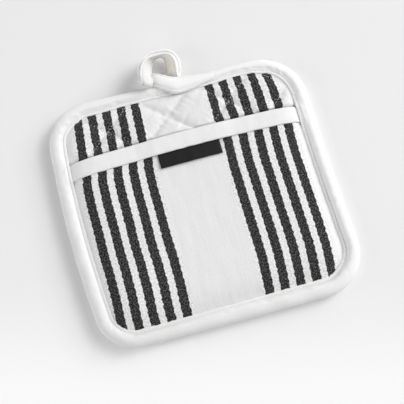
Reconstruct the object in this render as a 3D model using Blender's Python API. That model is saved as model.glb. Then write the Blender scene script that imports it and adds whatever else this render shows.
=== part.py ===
"""Quilted pot holder with a hand pocket, lying flat on its back.

Six sewn pieces: the quilted pad, the pocket panel, the band over the pocket's mouth, the
binding round the edge, the hanging loop and a blank woven label. Sizes below are in
millimetres and angles in degrees; meshes are written in metres. X runs across the
stripes, +Y towards the hanging loop and +Z up. The origin is the middle of the pad, on
its underside.
"""

import math

import bmesh
import bpy
import numpy as np
from mathutils import Vector

MM = 0.001
GAP = 0.3  # air between pieces that touch
ROOM = 0.4  # air between the tape and the cloth inside it, measured upwards

# Outer edge of the binding, seen from above: its corners before rounding, how far the
# rounding reaches along both sides, and how far the side after each corner bows out.
CORNERS = (
    # x, y, rounding, bow
    (109.6, -102.3, 38.0, -2.2),  # bottom right, then up the right side
    (107.3, 101.5, 40.5, -1.8),  # top right, then along the top
    (-104.1, 102.5, 33.0, 6.2),  # top left, then down the left side
    (-100.4, -100.7, 27.0, 0.5),  # bottom left, then along the bottom
)
SIDE_STEPS = 11
CORNER_STEPS = 9
ARC_HANDLE = 0.5523  # length of a Bezier handle that draws a quarter circle

# Binding: a tape folded over the edge into a plump roll.
TAPE = 1.5
WIDTH_RIGHT, WIDTH_TOP, WIDTH_LEFT, WIDTH_BOTTOM = 12.0, 11.8, 11.2, 13.4
ROLL = (
    # share of the width in from the edge, height: from the top lip round to the lower lip
    (1.00, 9.3),
    (0.80, 11.2),
    (0.50, 12.0),
    (0.24, 11.2),
    (0.06, 8.8),
    (0.00, 5.8),
    (0.07, 2.6),
    (0.27, 0.0),
    (0.62, 0.0),
    (0.82, 0.4),
    (1.00, 1.2),
)

# Quilted pad.
PAD_TOP = 10.2
PAD_UNDER_POCKET = 7.0
PAD_EDGE_SHARE = 0.22  # where the pad's rim ends inside the roll, as a share of its width
QUILT_WIDTH = 50.4  # across one diamond
QUILT_SLOPE = 0.86
QUILT_CENTRE = (-8.5, 71.0)  # where two stitch lines cross
CHANNEL_REACH = 5.2
CHANNEL_TOP = 1.6
CHANNEL_UNDER = 1.3
CHANNEL_CUTS = (0.0, 2.0, CHANNEL_REACH)
SEAM_RISE = 0.5  # the cloth starts to rise this far inside the lip
CLOTH_SHARES = (0.45, 0.72, 1.0)  # rows of points on all cloth under the binding

# Pocket panel and the band folded over its mouth.
POCKET_THICK = 1.4
POCKET_TOP = 14.6
POCKET_REACH = 5.0  # how quickly the panel rises from its seam
POCKET_CUTS_X = (-83.0, -76.0, -62.0, -42.0, -21.0, 0.0, 21.0, 42.0, 61.0, 75.0, 81.0)
POCKET_CUTS_Y = (-73.0, -66.0, -48.0, -24.0, 0.0, 24.0, 38.0)
MOUTH_Y = 52.2
MOUTH_SAG = 1.8  # how much lower the mouth's ends lie than its middle
PAD_STEP = (MOUTH_Y + 1.2, MOUTH_Y + 10.0)  # the pad rises out of the pocket between these
BAND_THICK = 1.0
BAND_FRONT = 12.6
BAND_BACK = 9.0
BAND_ZONE = (29.0, 37.0, 56.0, 61.0)  # the seams are pressed flatter between these
BAND_SLACK = 1.6  # extra room under the band at its ends
FOLD_ROUNDING = 0.2  # how far its folded edge is rounded off
BAND_ROWS = (2.4, 4.0, 6.0, 9.0, 13.0, 19.0, 29.0, 44.0)  # sections, from either end

# Label, caught under the band's lower edge.
LABEL_WIDTH = 50.4
LABEL_DROP = 11.8
LABEL_TUCK = 3.0
LABEL_THICK = 1.0
LABEL_LIFT = 0.7  # how far its free edge stands off the pocket

# Hanging loop: the binding's tail. Lean is the angle between the tape's width and the
# floor, 180 where it lies flat and 90 where it stands on edge.
LOOP_WIDTH = 12.6
LOOP_STEPS = 44
LOOP_ROUTE = (
    # x, y, z, lean, drop of both its edges over the roll, thickness
    (34.0, 94.4, 13.2, 180.0, 1.9, 1.0),
    (24.0, 94.3, 13.5, 180.0, 2.2, 1.3),
    (13.0, 94.2, 14.1, 180.0, 2.2, 2.0),
    (4.0, 94.9, 14.9, 176.0, 1.4, 2.8),
    (-4.0, 98.2, 15.9, 167.0, 0.6, 3.4),
    (-12.0, 102.6, 16.3, 150.0, 0.2, 3.6),
    (-19.0, 108.8, 15.0, 122.0, 0.0, 3.6),
    (-18.4, 117.0, 13.6, 98.0, 0.0, 3.6),
    (-11.0, 123.4, 11.8, 88.0, 0.0, 3.6),
    (-0.6, 124.4, 10.4, 80.0, 0.0, 3.6),
    (7.2, 119.6, 9.2, 62.0, 0.0, 3.6),
    (8.8, 111.4, 8.0, 50.0, 0.0, 3.6),
    (7.0, 104.0, 7.2, 46.0, 0.0, 3.6),
)

WHITE_CLOTH = (0.80, 0.80, 0.79, 1.0)
WHITE_TAPE = (0.86, 0.86, 0.84, 1.0)
IVORY_TAPE = (0.84, 0.83, 0.79, 1.0)
BLACK_RIBBON = (0.008, 0.008, 0.009, 1.0)


# ---------------------------------------------------------------- outline


def bowed_side(start, end, bow):
    """Point and direction functions of one side, its middle pushed outwards by bow."""
    along = end - start
    outward = Vector((along.y, -along.x)).normalized()

    def point(share):
        return start + along * share + outward * (4.0 * bow * share * (1.0 - share))

    def direction(share):
        return (along + outward * (4.0 * bow * (1.0 - 2.0 * share))).normalized()

    return point, direction, along.length


def edge_line():
    """Points of the outer edge, anticlockwise, closer together round the corners."""
    places = [Vector((x, y)) for x, y, _, _ in CORNERS]
    sides = [
        bowed_side(places[i], places[(i + 1) % 4], CORNERS[i][3]) for i in range(4)
    ]
    line = []
    for i in range(4):
        point, direction, length = sides[i]
        next_point, next_direction, next_length = sides[(i + 1) % 4]
        rounding = CORNERS[(i + 1) % 4][2]
        first, last = CORNERS[i][2] / length, 1.0 - rounding / length
        for step in range(SIDE_STEPS + 1):
            line.append(point(first + (last - first) * step / SIDE_STEPS))
        start, end = point(last), next_point(rounding / next_length)
        reach = rounding * ARC_HANDLE
        handle_a = start + direction(last) * reach
        handle_b = end - next_direction(rounding / next_length) * reach
        for step in range(1, CORNER_STEPS):
            t = step / CORNER_STEPS
            s = 1.0 - t
            line.append(
                start * s**3 + handle_a * (3 * s * s * t) + handle_b * (3 * s * t * t) + end * t**3
            )
    return line


EDGE = edge_line()
EDGE_ARRAY = np.array([tuple(point) for point in EDGE])


def inward_at(index):
    before, after = EDGE[index - 1], EDGE[(index + 1) % len(EDGE)]
    along = after - before
    return Vector((-along.y, along.x)).normalized()


INWARD = [inward_at(index) for index in range(len(EDGE))]


def binding_width(inward):
    """Width of the roll on a side that faces away from inward."""
    across = WIDTH_LEFT if inward[0] > 0 else WIDTH_RIGHT
    along = WIDTH_BOTTOM if inward[1] > 0 else WIDTH_TOP
    return across * inward[0] ** 2 + along * inward[1] ** 2


def from_edge(x, y):
    """Share of the binding's width at (x, y), distance inside its lip, and that width."""
    ends = np.roll(EDGE_ARRAY, -1, axis=0)
    runs = ends - EDGE_ARRAY
    offset = np.array((x, y)) - EDGE_ARRAY
    share = np.clip((offset * runs).sum(1) / (runs**2).sum(1), 0.0, 1.0)
    across = offset - runs * share[:, None]
    distances = np.linalg.norm(across, axis=1)
    nearest = int(distances.argmin())
    run = runs[nearest] / np.linalg.norm(runs[nearest])
    width = binding_width((-run[1], run[0]))
    distance = float(distances[nearest])
    return distance / width, distance - width, width


def ring_at(share, extra):
    """Points in from the edge by a share of the binding's width and some millimetres."""
    return [
        point + inward * (share * binding_width(inward) + extra)
        for point, inward in zip(EDGE, INWARD)
    ]


# ---------------------------------------------------------------- heights


def offset_line(points, thickness):
    """The line of the tape's inner face, which ends square under both lips."""
    moved = [points[0] - Vector((0.0, thickness))]
    for before, point, after in zip(points, points[1:], points[2:]):
        along = (after - before).normalized()
        moved.append(point + Vector((-along.y, along.x)) * thickness)
    return moved + [points[-1] + Vector((0.0, thickness))]


def roll_section(width):
    """Outer and inner line of the tape across the binding: distance in, height."""
    outer = [Vector((share * width, height)) for share, height in ROLL]
    return outer, offset_line(outer, TAPE)


def room_inside(share, width):
    """Lowest and highest that cloth can lie inside the roll, clear of the tape."""
    line = roll_section(width)[1]
    middle = len(line) // 2
    share = min(share, 1.0)
    limits = []
    for side, clear in ((line[middle + 1 :], ROOM), (line[:middle][::-1], -ROOM)):
        places, heights = [p.x / width for p in side], [p.y for p in side]
        limits.append(float(np.interp(share, places, heights)) + clear)
    return limits


def smooth_step(value, start, end):
    share = min(max((value - start) / (end - start), 0.0), 1.0)
    return share * share * (3.0 - 2.0 * share)


def rise(inside, reach):
    """0 at the seam, then quickly towards 1 further inside it."""
    return 1.0 - math.exp(-max(inside - SEAM_RISE, 0.0) / reach)


def stitch_distance(x, y):
    """Distance to the nearest line of quilting."""
    nearest = QUILT_WIDTH
    for slope in (QUILT_SLOPE, -QUILT_SLOPE):
        across = (x - QUILT_CENTRE[0]) - (y - QUILT_CENTRE[1]) / slope
        across -= QUILT_WIDTH * round(across / QUILT_WIDTH)
        nearest = min(nearest, abs(across) * QUILT_SLOPE / math.hypot(1.0, QUILT_SLOPE))
    return nearest


def channel(x, y):
    """1 on a line of quilting, fading to 0 on the puffed cloth between."""
    return max(0.0, 1.0 - stitch_distance(x, y) / CHANNEL_REACH) ** 2


def mouth_line(x):
    """Height up the pad of the pocket's mouth, which sags to both ends."""
    return MOUTH_Y - MOUTH_SAG * (x / 94.0) ** 2


def pad_top(x, y):
    share, inside, width = from_edge(x, y)
    pocket = 1.0 - smooth_step(y, *PAD_STEP)
    band = smooth_step(y, *BAND_ZONE[:2]) * (1.0 - smooth_step(y, *BAND_ZONE[2:]))
    lowered = (POCKET_THICK + 2.0 * GAP) * pocket + (BAND_THICK + GAP) * band
    seam = room_inside(share, width)[1] - lowered
    if inside <= 0.0:
        return seam
    field = PAD_TOP + (PAD_UNDER_POCKET - PAD_TOP) * pocket
    lift = rise(inside, 4.0)
    return seam + (field - seam) * lift - CHANNEL_TOP * channel(x, y) * lift


def pad_under(x, y):
    share, inside, width = from_edge(x, y)
    seam = room_inside(share, width)[0]
    if inside <= 0.0:
        return seam
    lift = rise(inside, 3.0)
    height = seam * (1.0 - lift) + CHANNEL_UNDER * channel(x, y) * lift
    return max(0.0, height - 0.15)


def pocket_top(x, y):
    share, inside, width = from_edge(x, y)
    seam = room_inside(share, width)[1]
    if inside <= 0.0:
        return seam
    wave = 0.25 * math.sin(x / 17.0 + 0.8) * math.sin(y / 23.0 - 0.4)
    return seam + (POCKET_TOP + wave - seam) * rise(inside, POCKET_REACH)


def pocket_under(x, y):
    return pocket_top(x, y) - POCKET_THICK


# ---------------------------------------------------------------- cloth


def add_object(name, bm, colour, roughness):
    """Writes the mesh, in metres, as an object with its own plain finish."""
    bmesh.ops.scale(bm, vec=(MM, MM, MM), verts=bm.verts)
    bmesh.ops.recalc_face_normals(bm, faces=bm.faces)
    mesh = bpy.data.meshes.new(name)
    bm.to_mesh(mesh)
    bm.free()
    mesh.shade_smooth()
    mesh.set_sharp_from_angle(angle=math.radians(50.0))
    finish = bpy.data.materials.new(name + "_finish")
    finish.use_nodes = True
    shader = finish.node_tree.nodes["Principled BSDF"]
    shader.inputs["Base Color"].default_value = colour
    shader.inputs["Roughness"].default_value = roughness
    shader.inputs["Metallic"].default_value = 0.0
    mesh.materials.append(finish)
    piece = bpy.data.objects.new(name, mesh)
    bpy.context.collection.objects.link(piece)
    return piece


def flat_cloth(rings):
    """A flat piece cut to the outermost ring, with the other rings marked on it."""
    bm = bmesh.new()
    field = bm.faces.layers.int.new("field")
    loops = [[bm.verts.new((p.x, p.y, 0.0)) for p in ring_at(*ring)] for ring in rings]
    count = len(EDGE)
    for outer, inner in zip(loops, loops[1:]):
        for i in range(count):
            j = (i + 1) % count
            bm.faces.new((outer[i], outer[j], inner[j], inner[i]))
    bm.faces.new(loops[-1])[field] = 1
    return bm


def cut_line(bm, place, across, faces, drop_beyond=False):
    """Cuts the faces along the line through place that is square to across."""
    edges = {edge for face in faces for edge in face.edges}
    verts = {vert for face in faces for vert in face.verts}
    bmesh.ops.bisect_plane(
        bm,
        geom=list(verts) + list(edges) + list(faces),
        dist=0.05,
        plane_co=(*place, 0.0),
        plane_no=(*across, 0.0),
        clear_outer=drop_beyond,
    )


def cut_field(bm, place, across):
    """Marks a line on the cloth inside its innermost ring."""
    field = bm.faces.layers.int["field"]
    cut_line(bm, place, across, [face for face in bm.faces if face[field]])


def thicken(bm, top, under):
    """Gives the flat cloth an upper and a lower face at their own heights."""
    raised = bmesh.ops.extrude_face_region(bm, geom=bm.faces[:])["geom"]
    upper = {item for item in raised if isinstance(item, bmesh.types.BMVert)}
    for vert in bm.verts:
        height = top if vert in upper else under
        vert.co.z = height(vert.co.x, vert.co.y)


def make_pad():
    rings = [(share, 0.0) for share in (PAD_EDGE_SHARE, *CLOTH_SHARES)]
    bm = flat_cloth(rings + [(1.0, 4.0)])
    reach = 120.0
    for slope in (QUILT_SLOPE, -QUILT_SLOPE):
        across = Vector((slope, -1.0)).normalized()
        spread = (reach + reach / QUILT_SLOPE) / QUILT_WIDTH
        for row in range(-math.ceil(spread) - 2, math.ceil(spread) + 1):
            place = Vector(QUILT_CENTRE) + Vector((QUILT_WIDTH * row, 0.0))
            for offset in sorted({side * cut for cut in CHANNEL_CUTS for side in (-1, 1)}):
                cut_field(bm, place + across * offset, across)
    for y in PAD_STEP:
        cut_field(bm, (0.0, y), (0.0, 1.0))
    bmesh.ops.remove_doubles(bm, verts=bm.verts, dist=0.4)
    thicken(bm, pad_top, pad_under)
    return add_object("quilted_pad", bm, WHITE_CLOTH, 0.9)


def make_pocket():
    rings = [(share, 0.0) for share in CLOTH_SHARES]
    bm = flat_cloth(rings + [(1.0, SEAM_RISE), (1.0, 3.0), (1.0, 8.0)])
    cut_line(bm, (0.0, MOUTH_Y), (0.0, 1.0), bm.faces[:], drop_beyond=True)
    for x in POCKET_CUTS_X:
        cut_field(bm, (x, 0.0), (1.0, 0.0))
    for y in POCKET_CUTS_Y:
        cut_field(bm, (0.0, y), (0.0, 1.0))
    bmesh.ops.remove_doubles(bm, verts=bm.verts, dist=0.4)
    thicken(bm, pocket_top, pocket_under)
    for vert in bm.verts:
        pull = smooth_step(vert.co.y, -40.0, MOUTH_Y)
        vert.co.y += (mouth_line(vert.co.x) - MOUTH_Y) * pull
    return add_object("pocket_panel", bm, WHITE_CLOTH, 0.9)


# ---------------------------------------------------------------- strips


def join_sections(sections, closed):
    """A skin over equal sections, closed into a ring or capped at its two ends."""
    bm = bmesh.new()
    loops = [[bm.verts.new(point) for point in section] for section in sections]
    count = len(loops[0])
    pairs = zip(loops, loops[1:] + loops[:1]) if closed else zip(loops, loops[1:])
    for first, second in pairs:
        for i in range(count):
            j = (i + 1) % count
            bm.faces.new((first[i], first[j], second[j], second[i]))
    if not closed:
        bm.faces.new(loops[0])
        bm.faces.new(loops[-1])
    return bm


def make_binding():
    sections = []
    for point, inward in zip(EDGE, INWARD):
        outer, inner = roll_section(binding_width(inward))
        across = outer + inner[::-1]
        sections.append([(*(point + inward * p.x), p.y) for p in across])
    return add_object("edge_binding", join_sections(sections, closed=True), WHITE_TAPE, 0.85)


def label_bump(x):
    """How much of the label's thickness the band rises by at x."""
    return 1.0 - smooth_step(abs(x), LABEL_WIDTH / 2 + 0.5, LABEL_WIDTH / 2 + 6.5)


def band_section(x):
    """The band folded over the pocket's mouth at x: y and z round its strip."""
    mouth = mouth_line(x)
    front = mouth - BAND_FRONT
    back = mouth - BAND_BACK
    bump = (LABEL_THICK + GAP) * label_bump(x)
    slack = BAND_SLACK * (1.0 - rise(from_edge(x, mouth)[1], POCKET_REACH))

    def over(y):
        return pocket_top(x, y - mouth + MOUTH_Y) + GAP + bump + slack

    def below(y):
        return pocket_under(x, y - mouth + MOUTH_Y) - GAP - slack * 0.5

    fold = mouth + GAP + BAND_THICK
    centre = mouth - BAND_FRONT / 2
    outside = (
        (front, over(front) + BAND_THICK * 0.7),
        (front + 1.2, over(front + 1.2) + BAND_THICK),
        (centre, over(centre) + BAND_THICK),
        (mouth - 1.5, over(mouth - 1.5) + BAND_THICK),
        (fold, over(mouth) - FOLD_ROUNDING),
        (fold, below(mouth) + FOLD_ROUNDING),
        (mouth - 1.5, below(mouth - 1.5) - BAND_THICK),
        (back, below(back) - BAND_THICK),
    )
    inside = (
        (back, below(back)),
        (mouth - 3.0, below(mouth - 3.0)),
        (mouth + GAP, below(mouth)),
        (mouth + GAP, over(mouth)),
        (mouth - 3.0, over(mouth - 3.0)),
        (centre, over(centre)),
        (front, over(front)),
    )
    return outside + inside


def lip_x(y, side):
    """Where the binding's lip is at y on the left (-1) or right (1) side."""
    ring = np.array([tuple(point) for point in ring_at(1.0, SEAM_RISE)])
    half = ring[(ring[:, 0] * side > 40.0) & (abs(ring[:, 1]) < 75.0)]
    order = half[:, 1].argsort()
    return float(np.interp(y, half[order, 1], half[order, 0]))


def make_band():
    left, right = lip_x(MOUTH_Y - 8.0, -1), lip_x(MOUTH_Y - 8.0, 1)
    by_label = [side * (LABEL_WIDTH / 2 + out) for out in (0.5, 3.5, 6.5) for side in (-1, 1)]
    places = [left + row for row in BAND_ROWS] + [right - row for row in BAND_ROWS]
    sections = []
    for x in sorted(places + by_label + [-10.0, 10.0]):
        sections.append([(x, y, z) for y, z in band_section(x)])
    return add_object("pocket_band", join_sections(sections, closed=False), WHITE_TAPE, 0.85)


def make_label():
    columns, rows = 12, 5
    bm = bmesh.new()
    bmesh.ops.create_grid(bm, x_segments=columns, y_segments=rows, size=0.5)

    def rest(x, y):
        mouth = mouth_line(x)
        free = smooth_step(mouth - BAND_FRONT - y, 1.0, LABEL_DROP)
        return pocket_top(x, y - mouth + MOUTH_Y) + GAP + LABEL_LIFT * free

    length = LABEL_DROP + LABEL_TUCK
    for vert in bm.verts:
        x = vert.co.x * LABEL_WIDTH
        tucked_end = mouth_line(x) - BAND_FRONT + LABEL_TUCK
        vert.co.x, vert.co.y = x, tucked_end - length * (0.5 - vert.co.y)
    thicken(bm, lambda x, y: rest(x, y) + LABEL_THICK, rest)
    return add_object("woven_label", bm, BLACK_RIBBON, 0.7)


# ---------------------------------------------------------------- loop


def smooth_route(rows, steps):
    """Points evenly along a smooth curve through the rows."""
    table = np.array(rows)
    padded = np.vstack((2 * table[0] - table[1], table, 2 * table[-1] - table[-2]))
    points = []
    for step in range(steps + 1):
        place = step / steps * (len(table) - 1)
        index = min(int(place), len(table) - 2)
        t = place - index
        a, b, c, d = padded[index : index + 4]
        points.append(
            0.5 * (2 * b + (c - a) * t + (2 * a - 5 * b + 4 * c - d) * t**2
                   + (3 * b - a - 3 * c + d) * t**3)
        )
    return points


def tape_section(centre, along, lean, drop, thick):
    """A strip's section: its width leans from the side of the route, its edges rounded."""
    side = Vector((0.0, 0.0, 1.0)).cross(along).normalized()
    above = along.cross(side).normalized()
    across = side * math.cos(lean) + above * math.sin(lean)
    through = across.cross(along).normalized()
    half = thick / 2
    spread = ((-1.0, 0.4), (-0.92, 0.9), (-0.5, 1.0), (0.0, 1.0), (0.5, 1.0), (0.92, 0.9), (1.0, 0.4))
    outer = [(a, -drop * a * a + half * b) for a, b in spread]
    inner = [(a, -drop * a * a - half * b) for a, b in reversed(spread)]
    return [centre + across * (a * LOOP_WIDTH / 2) + through * b for a, b in outer + inner]


def make_loop():
    points = smooth_route(LOOP_ROUTE, LOOP_STEPS)
    sections = []
    for index, (x, y, z, lean, drop, thick) in enumerate(points):
        before = Vector(points[max(index - 1, 0)][:3])
        after = Vector(points[min(index + 1, LOOP_STEPS)][:3])
        along = (after - before).normalized()
        centre = Vector((x, y, z))
        sections.append(tape_section(centre, along, math.radians(lean), drop, thick))
    return add_object("hanging_loop", join_sections(sections, closed=False), IVORY_TAPE, 0.85)


for item in list(bpy.data.objects):
    bpy.data.objects.remove(item, do_unlink=True)

make_pad()
make_pocket()
make_band()
make_binding()
make_label()
make_loop()
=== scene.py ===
"""Looks of a quilted pot holder with a hand pocket, lying flat on a pale table.

The sewn pieces are made here in millimetres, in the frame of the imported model, and their
meshes are written in metres: a padded pad quilted in diamonds, a striped pocket, the band
folded over the pocket's mouth, the plump binding, the hanging loop, a blank woven label
and the threads that hold them together.
"""

import math

import bpy
import numpy as np
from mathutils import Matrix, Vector
from mathutils.bvhtree import BVHTree


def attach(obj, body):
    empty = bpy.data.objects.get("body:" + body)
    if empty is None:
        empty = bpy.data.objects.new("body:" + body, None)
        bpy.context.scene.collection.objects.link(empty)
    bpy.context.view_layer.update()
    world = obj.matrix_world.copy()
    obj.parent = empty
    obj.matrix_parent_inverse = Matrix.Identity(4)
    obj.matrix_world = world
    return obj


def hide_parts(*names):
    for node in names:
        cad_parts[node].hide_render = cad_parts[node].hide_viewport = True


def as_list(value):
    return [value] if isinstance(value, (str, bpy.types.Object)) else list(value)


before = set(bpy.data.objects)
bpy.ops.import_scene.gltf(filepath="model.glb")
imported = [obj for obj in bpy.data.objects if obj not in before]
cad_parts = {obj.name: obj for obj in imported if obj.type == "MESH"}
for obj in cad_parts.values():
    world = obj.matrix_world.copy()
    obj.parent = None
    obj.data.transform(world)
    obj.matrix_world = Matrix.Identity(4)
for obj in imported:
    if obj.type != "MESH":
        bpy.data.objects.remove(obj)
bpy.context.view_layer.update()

MM = 0.001

# ---------------------------------------------------------------- sizes, in millimetres

CORNERS = (
    # x, y, rounding, how far the side after the corner bows out
    (109.6, -102.3, 38.0, -2.2),
    (107.3, 101.5, 40.5, -1.8),
    (-104.1, 102.5, 33.0, 6.2),
    (-100.4, -100.7, 27.0, 0.5),
)
SIDE_STEPS = 80
CORNER_STEPS = 40
ARC_HANDLE = 0.5523
WIDTH_RIGHT, WIDTH_TOP, WIDTH_LEFT, WIDTH_BOTTOM = 13.1, 12.1, 13.3, 13.4
HEM = 2.7  # the flat rim between the roll's foot and the binding's lip, where it is sewn down
ROLL = (
    # share of the roll's width in from the edge, how far past its foot, height
    (1.00, 2.65, 7.72),
    (1.00, 2.72, 7.95),
    (1.00, 2.35, 8.28),
    (1.00, 1.20, 8.55),
    (1.00, 0.30, 8.35),
    (0.97, 0.0, 9.0),
    (0.90, 0.0, 10.4),
    (0.79, 0.0, 11.5),
    (0.62, 0.0, 12.0),
    (0.36, 0.0, 11.5),
    (0.14, 0.0, 10.0),
    (0.03, 0.0, 7.8),
    (0.00, 0.0, 5.4),
    (0.07, 0.0, 2.6),
    (0.27, 0.0, 0.0),
    (0.62, 0.0, 0.0),
    (0.84, 0.0, 0.3),
    (1.00, 0.3, 0.9),
    (1.00, 1.5, 0.9),
    (1.00, 2.7, 1.5),
)
ROLL_INSIDE = (
    (1.00, 2.60, 2.4),
    (1.00, 0.3, 1.8),
    (0.84, 0.0, 1.6),
    (0.30, 0.0, 1.6),
    (0.16, 0.0, 3.6),
    (0.11, 0.0, 5.8),
    (0.16, 0.0, 7.8),
    (0.26, 0.0, 9.2),
    (0.42, 0.0, 10.1),
    (0.62, 0.0, 10.5),
    (0.78, 0.0, 9.8),
    (0.93, 0.0, 8.2),
    (1.00, 0.5, 7.65),
    (1.00, 2.60, 7.65),
)
SEAM_TOP, SEAM_UNDER = 7.5, 3.1  # room for the cloth between the binding's two lips
RISE_OVER_BAND = 1.65  # of the lip where it crosses the pocket's band
AROUND_OUTSIDE, AROUND_ALL = 46.0, 80.0  # the tape across its roll, without and with its inside

PAD_TOP, PAD_UNDER_POCKET = 11.2, 7.0
QUILT_WIDTH = 50.4
QUILT_SLOPE = 0.86
QUILT_CENTRE = (-8.5, 71.0)
STITCH = 3.0  # from one quilting stitch to the next
PUFF, PUFF_FOOT = 3.0, 2.2  # height of the filling between stitch lines, and how deep those lie
PUFF_BEHIND_BAND = 1.6  # how far the filling swells up behind the pocket's band

POCKET_TOP = 14.6
POCKET_THICK = 1.4
POCKET_REACH = 7.5
MOUTH_Y, MOUTH_SAG, MOUTH_HALF = 52.5, 1.8, 94.0
BAND_THICK = 1.0
BAND_FRONT, BAND_OVER, BAND_BACK = 12.6, 1.3, 9.0  # in front of, over and behind the mouth
BAND_STITCHES = 1.7  # in from the band's front edge
LABEL_WIDTH, LABEL_DROP, LABEL_TUCK, LABEL_THICK = 50.4, 11.8, 3.0, 0.9
LABEL_EASE = 16.0  # over which the band comes down again beside the label

# How the binding differs from its usual width and height at the lip, all round the outline.
LIP_WANDER = (
    # bearing from the middle in degrees, extra width, extra height of the lip
    (-136.0, -0.6, 0.0),
    (-128.0, -0.4, 0.0),
    (-112.0, -0.2, 0.0),
    (-71.0, 0.6, 0.0),
    (-57.0, 0.8, 0.0),
    (-51.0, 0.6, 0.0),
    (-45.0, 1.4, 0.0),
    (-38.0, 0.2, 0.0),
    (-20.0, 0.0, 0.0),
    (12.0, 0.0, 0.3),
    (28.0, 0.0, 0.9),
    (40.0, -0.2, 1.7),
    (47.0, 0.0, 1.8),
    (53.0, 0.9, 1.9),
    (58.0, -1.1, 1.9),
    (63.0, -1.5, 1.9),
    (71.0, -0.6, 1.8),
    (112.0, -0.5, 1.6),
    (119.0, 0.3, 1.3),
    (126.0, 1.0, 1.4),
    (131.0, 2.0, 1.4),
    (140.0, 0.6, 1.4),
    (150.0, 0.0, 1.0),
    (160.0, 0.0, 0.4),
    (172.0, 0.0, 0.0),
    (200.0, 0.0, 0.0),
)

# The hanging loop is the binding's tail: it lies along the top side, folds over at its left
# end and stands up as a ring that comes down behind the binding.
LOOP_STRAND = (
    # front edge x, y, z, back edge x, y, z, rise of the middle, thickness
    (36.0, 92.0, 11.6, 36.0, 98.2, 10.9, 1.0, 0.6),
    (26.0, 90.2, 11.3, 26.0, 99.2, 10.6, 1.9, 1.0),
    (17.0, 88.4, 10.9, 15.0, 100.2, 10.8, 2.6, 1.8),
    (8.0, 87.3, 11.6, 8.5, 101.2, 11.2, 2.5, 2.4),
    (1.5, 88.0, 12.6, 3.0, 101.9, 12.2, 2.0, 3.0),
    (-5.1, 92.4, 13.2, -2.5, 104.6, 13.0, 1.3, 3.2),
    (-10.0, 96.0, 13.3, -8.0, 107.6, 13.0, 0.7, 3.2),
    (-13.5, 98.2, 12.4, -12.6, 108.6, 12.0, 0.2, 2.8),
    (-16.0, 99.6, 11.6, -15.0, 105.6, 11.2, 0.0, 2.2),
)
LOOP_RING = (
    # rim x, y, z, foot x, y, z, rise of the middle, thickness
    (-22.0, 99.8, 16.4, -15.0, 97.0, 14.8, 0.3, 2.8),
    (-22.8, 101.6, 18.8, -14.5, 98.2, 15.2, 0.4, 4.2),
    (-22.9, 106.2, 19.8, -13.3, 103.0, 12.4, 0.2, 4.6),
    (-21.5, 111.8, 19.8, -13.0, 110.4, 9.2, 0.0, 4.6),
    (-19.2, 116.9, 19.2, -11.2, 117.4, 7.0, 0.0, 4.6),
    (-15.0, 121.1, 18.4, -8.6, 122.8, 5.6, 0.0, 4.6),
    (-9.9, 123.4, 17.8, -5.4, 126.1, 4.6, 0.0, 4.6),
    (-2.8, 123.9, 17.2, -1.6, 126.9, 4.4, 0.0, 4.8),
    (3.2, 123.4, 16.6, 1.0, 125.7, 4.0, 0.0, 4.8),
    (8.1, 120.8, 15.9, 2.9, 122.3, 3.6, 0.0, 5.2),
    (10.9, 115.3, 14.8, 2.8, 117.6, 3.6, 0.0, 6.2),
    (10.9, 109.0, 12.6, 1.6, 112.6, 4.0, 0.0, 6.8),
    (10.0, 105.4, 9.6, 0.6, 107.8, 3.8, 0.0, 6.2),
    (9.4, 102.8, 8.4, 0.6, 103.6, 3.6, 0.0, 5.4),
)

TAPE_HALF = 6.3
BACK_OF_TAPE = 30.0  # added across the tape on its hidden side
RING_START = 200.0  # along the tape where the ring's part of it begins
LOOP_STITCHES = 0.74  # as a share of the tape's half width

STRIPE_PITCH = 12.55
STRIPE_HALF = 3.63
GROUP_LEFT, GROUP_RIGHT = -60.2, 56.0  # middle stripe of each group, on the pocket's cloth
# Quilting draws the pad's cloth in: where a place on it lies, and where that place would
# be on the pocket's cloth.
DRAWN_IN = (
    (-120.0, -125.6),
    (-81.0, -85.3),
    (-56.7, -60.2),
    (-32.8, -35.1),
    (0.4, -0.6),
    (30.2, 30.9),
    (54.7, 56.0),
    (79.0, 81.1),
    (120.0, 124.8),
)
# How far the pocket's stripes wander to the left of straight ones.
WANDER = (
    # y, left group, right group
    (-80.0, 0.2, 0.9),
    (-70.0, -0.2, 0.7),
    (-60.0, -0.7, 0.05),
    (-45.0, -0.6, 0.25),
    (-30.0, -0.05, 0.6),
    (0.0, -0.1, 0.75),
    (15.0, 0.0, 0.7),
    (30.0, -0.5, -0.3),
    (33.0, -0.8, -0.4),
    (36.0, -1.6, -0.9),
    (40.0, -2.2, -1.2),
)

PAINTED_LIGHT_TO_WINDOW = 0.0022  # painted light: how much paler the binding is painted with each millimetre towards the window side
AWAY = (0.259, 0.932)  # direction on the table that runs up the picture
PAINTED_LIGHT_FROM, PAINTED_LIGHT_OVER = 55.0, 99.0  # painted light: the table is painted paler towards the camera

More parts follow.
